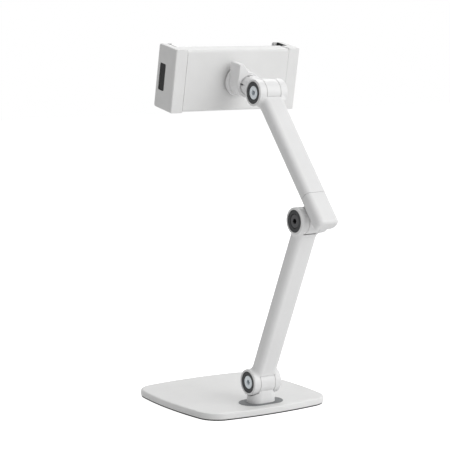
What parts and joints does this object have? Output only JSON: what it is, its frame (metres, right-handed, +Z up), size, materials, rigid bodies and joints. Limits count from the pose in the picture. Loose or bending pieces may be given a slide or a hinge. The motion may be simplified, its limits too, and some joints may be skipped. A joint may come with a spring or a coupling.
{
  "type": "tablet stand",
  "caption": "White folding desk stand: square base, hinged arms and a swivelling spring-jaw clamp that grips a tablet or phone.",
  "frame": {"origin": "centre of the base's underside, on the surface the stand rests on", "axes": "+Z up; the user and the clamped device's screen are on the -Y side; the arm hinges lie along X"},
  "size_m": [0.15, 0.2338, 0.3511],
  "materials": {
    "base_steel": "white powder coat, fine texture, satin",
    "white_alloy": "white powder coat on aluminium, satin",
    "white_plastic": "white moulded plastic, fine grain",
    "rubber_black": "matt black silicone rubber",
    "rubber_grey": "matt mid-grey rubber",
    "ring_dark": "dark grey plastic, satin",
    "washer_plastic": "natural nylon, matt",
    "bolt_light": "light grey plated steel, satin",
    "bolt_dark": "blackened steel, satin",
    "screw_steel": "plain zinc-plated steel",
    "rail_steel": "drawn steel strip, polished",
    "spring_steel": "bright spring wire",
    "ball_steel": "polished steel"
  },
  "bodies": {
    "base": {"base_plate": "base_steel", "rubber_mat": "rubber_black", "foot_gasket": "rubber_grey", "foot": "white_alloy", "foot_screws": "screw_steel"},
    "lower_arm": {"lower_arm": "white_alloy", "lower_hinge_bolt": "bolt_light", "lower_hinge_nut": "screw_steel", "lower_hinge_rings": "ring_dark", "lower_hinge_washers": "washer_plastic", "middle_hinge_bolt": "bolt_dark", "middle_hinge_nut": "screw_steel", "middle_hinge_rings": "ring_dark", "middle_hinge_washers": "washer_plastic"},
    "upper_arm": {"upper_arm": "white_alloy", "upper_arm_fitting": "white_alloy", "fitting_set_screw": "screw_steel", "top_hinge_bolt": "bolt_light", "top_hinge_nut": "screw_steel", "top_hinge_rings": "ring_dark", "top_hinge_washers": "washer_plastic"},
    "neck": {"neck": "white_alloy"},
    "clamp_nut": {"clamp_nut": "white_alloy"},
    "swivel_ball": {"swivel_ball": "ball_steel"},
    "holder": {"ball_stud": "screw_steel", "ball_stud_nut": "screw_steel", "holder_housing": "white_plastic", "holder_front_plate": "white_plastic", "holder_front_pad": "rubber_black", "cover_screws": "screw_steel", "right_jaw_spring": "spring_steel", "left_jaw_spring": "spring_steel"},
    "right_jaw": {"right_jaw_body": "white_plastic", "right_jaw_liner": "rubber_black", "right_jaw_rails": "rail_steel", "right_rail_screws": "screw_steel"},
    "left_jaw": {"left_jaw_body": "white_plastic", "left_jaw_liner": "rubber_black", "left_jaw_rails": "rail_steel", "left_rail_screws": "screw_steel"}
  },
  "joints": [
    {"name": "lower_hinge", "type": "hinge", "parent": "base", "child": "lower_arm", "pos_m": [0, 0.05107, 0.0282], "axis": [1, 0, 0], "range_deg": [-45, 45]},
    {"name": "middle_hinge", "type": "hinge", "parent": "lower_arm", "child": "upper_arm", "pos_m": [0, 0.12552, 0.19186], "axis": [1, 0, 0], "range_deg": [-68, 80]},
    {"name": "top_hinge", "type": "hinge", "parent": "upper_arm", "child": "neck", "pos_m": [0, 0.05884, 0.30583], "axis": [1, 0, 0], "range_deg": [-90, 45]},
    {"name": "ball_pan", "type": "hinge", "parent": "neck", "child": "swivel_ball", "pos_m": [0, 0.02054, 0.31319], "axis": [0, 0.1889, 0.982], "range_deg": [-6, 6]},
    {"name": "holder_roll", "type": "hinge", "parent": "swivel_ball", "child": "holder", "pos_m": [0, 0.02054, 0.31319], "axis": [0, 0.982, -0.1889], "continuous": true},
    {"name": "nut_turn", "type": "hinge", "parent": "neck", "child": "clamp_nut", "pos_m": [0, 0.02054, 0.31319], "axis": [0, 0.982, -0.1889], "range_deg": [-30, 90]},
    {"name": "right_jaw_slide", "type": "slide", "parent": "holder", "child": "right_jaw", "axis": [1, 0, 0], "range_m": [0, 0.038], "stiffness_N_per_m": 400, "springref_m": -0.025, "deforming": ["right_jaw_spring"]},
    {"name": "left_jaw_slide", "type": "slide", "parent": "holder", "child": "left_jaw", "axis": [-1, 0, 0], "range_m": [0, 0.038], "stiffness_N_per_m": 400, "springref_m": -0.025, "deforming": ["left_jaw_spring"]}
  ]
}
